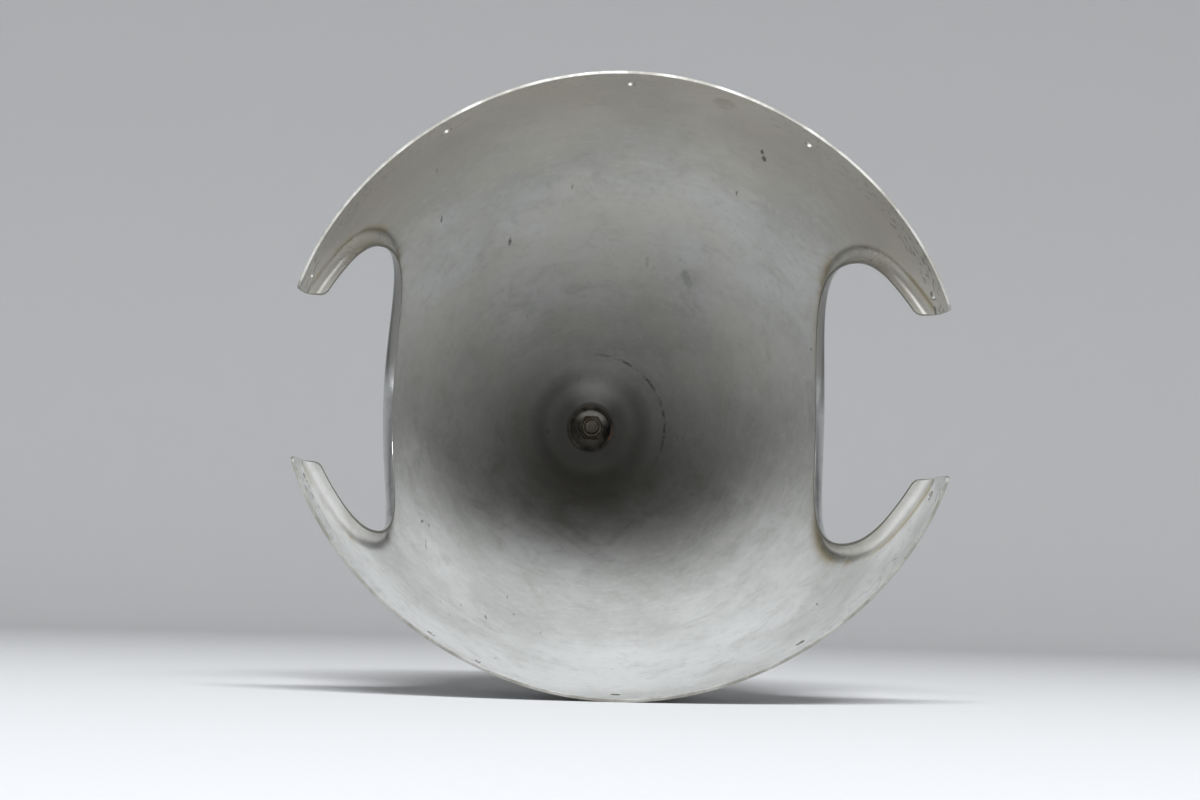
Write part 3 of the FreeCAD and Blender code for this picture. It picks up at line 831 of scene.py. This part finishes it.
def edge_finish():
    """Bare cut edge of the sheet, bright where it is worn and duller along the lips."""
    m = Maker("bare_edge")
    worn = m.noise(45.0, 5.0, 0.65)
    bright = m.mix(m.band(m.bend(), *LIP_EDGE), EDGE_SKIN, EDGE_LIP)
    m.surface(Base_Color=m.mix(m.band(worn, 0.4, 0.65), EDGE_DARK, bright), Metallic=1.0,
              Roughness=m.band(worn, 0.4, 0.65, 0.62, 0.5))
    return m.mat


def hardware_finish(name, low, high, rust, sheen_arc=None, head=False):
    """Plated steel gone matt, with an uneven oil film and rust in places.

    The optional arc, a radius and half width, is a painted highlight of lighter steel on the
    upper side, and head leaves what stands outside the nose clean.
    """
    m = Maker(name)
    film = m.noise(170.0, 5.0, 0.6)
    tone = m.mix(m.band(film, 0.35, 0.65), low, high)
    tone = m.mix(m.band(m.noise(95.0, 4.0, 0.6), 0.52, 0.7, 0.0, rust), tone, RUST_BROWN)
    # Painted highlight: an arc of lighter steel on the washer's upper side.
    if sheen_arc:
        _, _, _, r, turn = m.cylinder()
        radius, half = sheen_arc
        arc = m.times(m.band(m.off(r, radius), half, 0.2 * half),
                      m.band(m.off(turn, HIGHLIGHT_TURN), 1.5, 0.3))
        tone = m.mix(m.times(arc, m.band(film, 0.3, 0.55, 0.5, 1.0)), tone, HIGHLIGHT_STEEL)
    if head:
        _, y, _, _, _ = m.cylinder()
        clean = m.mix(m.band(film, 0.35, 0.65), HEAD_DULL, HEAD_CLEAR)
        tone = m.mix(m.band(y, *HEAD_OUTSIDE), tone, clean)
    m.surface(Base_Color=tone, Metallic=1.0, Roughness=m.band(film, 0.3, 0.7, 0.3, 0.5),
              Normal=m.bump(m.noise(900.0, 3.0, 0.6), 0.15, 0.00006))
    return m.mat


def new_piece(name, points, faces, normals, mats, finish):
    """Mesh object from points in millimetres, with its own smooth normals."""
    mesh = bpy.data.meshes.new(name)
    mesh.vertices.add(len(points))
    mesh.vertices.foreach_set("co", (points * MM).astype(np.float32).ravel())
    mesh.loops.add(faces.size)
    mesh.loops.foreach_set("vertex_index", faces.astype(np.int32).ravel())
    mesh.polygons.add(len(faces))
    starts = np.arange(0, faces.size, faces.shape[1], dtype=np.int32)
    mesh.polygons.foreach_set("loop_start", starts)
    for mat in mats:
        mesh.materials.append(mat)
    mesh.polygons.foreach_set("material_index", finish.astype(np.int32))
    mesh.update(calc_edges=True)
    mesh.validate()
    mesh.shade_smooth()
    mesh.normals_split_custom_set_from_vertices(normals.astype(np.float32))
    obj = bpy.data.objects.new(name, mesh)
    bpy.context.scene.collection.objects.link(obj)
    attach(obj, "root")
    return obj


points, normals, faces, finish, bend = shell_mesh()
shell_mats = [outside_finish(), inside_finish(), edge_finish()]
shell = new_piece("spun_shell", points, faces, normals, shell_mats, finish)
layer = shell.data.attributes.new("bend", "FLOAT", "POINT")
layer.data.foreach_set("value", bend.astype(np.float32))
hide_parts("spinner_shell")

HARDWARE = {
    # The washer's arc of lighter steel is a painted highlight.
    "nose_washer": dict(name="washer_steel", low=(0.016, 0.015, 0.013),
                        high=(0.055, 0.051, 0.043), rust=0.5, sheen_arc=(0.0095, 0.003)),
    "nose_nut": dict(name="nut_steel", low=(0.045, 0.04, 0.031),
                     high=(0.105, 0.094, 0.072), rust=0.5),
    "nose_bolt": dict(name="bolt_steel", low=(0.06, 0.055, 0.042),
                      high=(0.13, 0.12, 0.092), rust=0.4, head=True),
}
for node_name, look in HARDWARE.items():
    slots = nodes[node_name].data.materials
    slots.clear()
    slots.append(hardware_finish(**look))


# ---- camera --------------------------------------------------------------
# Turn about Z, look upwards and roll, degrees, then how far the part's origin lies to
# the right of the camera, in front of it and above it, millimetres.
CAMERA_YAW, CAMERA_PITCH, CAMERA_ROLL = 3.68, 5.283, 1.809
ORIGIN_SEEN = (12.76, 1113.43, 8.889)
LENS, SENSOR, FAR_CLIP = 66.355, 36, 100


def camera_axes(yaw, pitch, roll):
    """Rows are the camera's right, forward and up directions.

    A roll about the thrust axis, then a look upwards, then a turn about Z.
    """
    cy, sy = math.cos(yaw), math.sin(yaw)
    cp, sp = math.cos(pitch), math.sin(pitch)
    cr, sr = math.cos(roll), math.sin(roll)
    turn = np.array([[cy, -sy, 0], [sy, cy, 0], [0, 0, 1]])
    look = np.array([[1, 0, 0], [0, cp, sp], [0, -sp, cp]])
    tilt = np.array([[cr, 0, sr], [0, 1, 0], [-sr, 0, cr]])
    return turn @ look @ tilt


right, forward, up = axes = camera_axes(
    math.radians(CAMERA_YAW), math.radians(CAMERA_PITCH), math.radians(CAMERA_ROLL))
spot = -axes.T @ (np.array(ORIGIN_SEEN) * MM)
cam_data = bpy.data.cameras.new("camera")
cam_data.sensor_width = SENSOR
cam_data.lens = LENS
cam_data.clip_end = FAR_CLIP
cam = bpy.data.objects.new("camera", cam_data)
bpy.context.scene.collection.objects.link(cam)
cam.matrix_world = Matrix([*np.stack([right, up, -forward, spot], -1).tolist(), [0, 0, 0, 1]])
bpy.context.scene.camera = cam


# ---- floor, backdrop and light -------------------------------------------
PAPER_GREY = 0.62
# Radius of the flat floor, radius of its turn up into the wall, and the wall's height.
SWEEP_FLAT, SWEEP_ARC, SWEEP_TOP = 2.2, 1.0, 3.0
LAMP_SPREAD = math.radians(120)
LAMP_COLOUR = (0.94, 0.965, 1.0)
# Room light: height and colour of its calm and its pale end, and its strength.
ROOM_CALM = (0.12, (0.12, 0.119, 0.115, 1))
ROOM_PALE = (0.75, (0.4, 0.405, 0.415, 1))
ROOM_STRENGTH = 0.67


def diffuse(name, grey):
    """Plain matt paper."""
    m = Maker(name)
    m.surface(Base_Color=(grey, grey, grey), Roughness=0.9, Specular_IOR_Level=0.1)
    return m.mat


def studio_sweep(low):
    """Round paper sweep: a flat floor turned up through an arc into a wall all round."""
    arc = np.linspace(0, 0.5 * np.pi, 17)
    r = np.concatenate([[0.0, 0.4, 0.9, 1.5], SWEEP_FLAT + SWEEP_ARC * np.sin(arc),
                        [SWEEP_FLAT + SWEEP_ARC]])[:, None]
    z = low + np.concatenate([[0.0] * 4, SWEEP_ARC * (1 - np.cos(arc)), [SWEEP_TOP]])[:, None]
    turn = np.linspace(0, 2 * np.pi, 97)
    points = np.stack(np.broadcast_arrays(r * np.cos(turn), r * np.sin(turn), z), -1)
    mesh = bpy.data.meshes.new("paper_sweep")
    mesh.from_pydata(points.reshape(-1, 3).tolist(), [], grid_faces(len(r), len(turn)).tolist())
    mesh.materials.append(diffuse("pale_paper", PAPER_GREY))
    mesh.shade_smooth()
    obj = bpy.data.objects.new("paper_sweep", mesh)
    bpy.context.scene.collection.objects.link(obj)


def lamp(name, place, target, size, power):
    """Soft rectangular lamp at place, turned to face target."""
    data = bpy.data.lights.new(name, "AREA")
    data.shape = "RECTANGLE"
    data.size, data.size_y = size
    data.energy = power
    data.spread = LAMP_SPREAD
    data.color = LAMP_COLOUR
    obj = bpy.data.objects.new(name, data)
    bpy.context.scene.collection.objects.link(obj)
    obj.location = place
    facing = Vector(target) - Vector(place)
    obj.rotation_euler = facing.to_track_quat("-Z", "Y").to_euler()


def studio_world():
    """Soft room light: pale overhead, calmer at eye level."""
    world = bpy.data.worlds.new("studio")
    bpy.context.scene.world = world
    world.use_nodes = True
    tree = world.node_tree
    back = tree.nodes["Background"]
    place = tree.nodes.new("ShaderNodeTexCoord")
    split = tree.nodes.new("ShaderNodeSeparateXYZ")
    ramp = tree.nodes.new("ShaderNodeValToRGB")
    tree.links.new(place.outputs["Generated"], split.inputs[0])
    for stop, (height, colour) in zip(ramp.color_ramp.elements, (ROOM_CALM, ROOM_PALE)):
        stop.position = height
        stop.color = colour
    tree.links.new(split.outputs[2], ramp.inputs[0])
    tree.links.new(ramp.outputs[0], back.inputs[0])
    back.inputs[1].default_value = ROOM_STRENGTH


studio_sweep(cad_box[0][2])
lamp("front_softbox", place=(0.1, -2.25, 2.5), target=(0, 0.1, 0), size=(2.5, 0.68), power=81)
lamp("high_strip", place=(0.0, -2.3, 1.0), target=(0, 0.3, 0), size=(1.0, 0.12), power=2.3)
studio_world()

bpy.context.scene.view_settings.view_transform = "Standard"
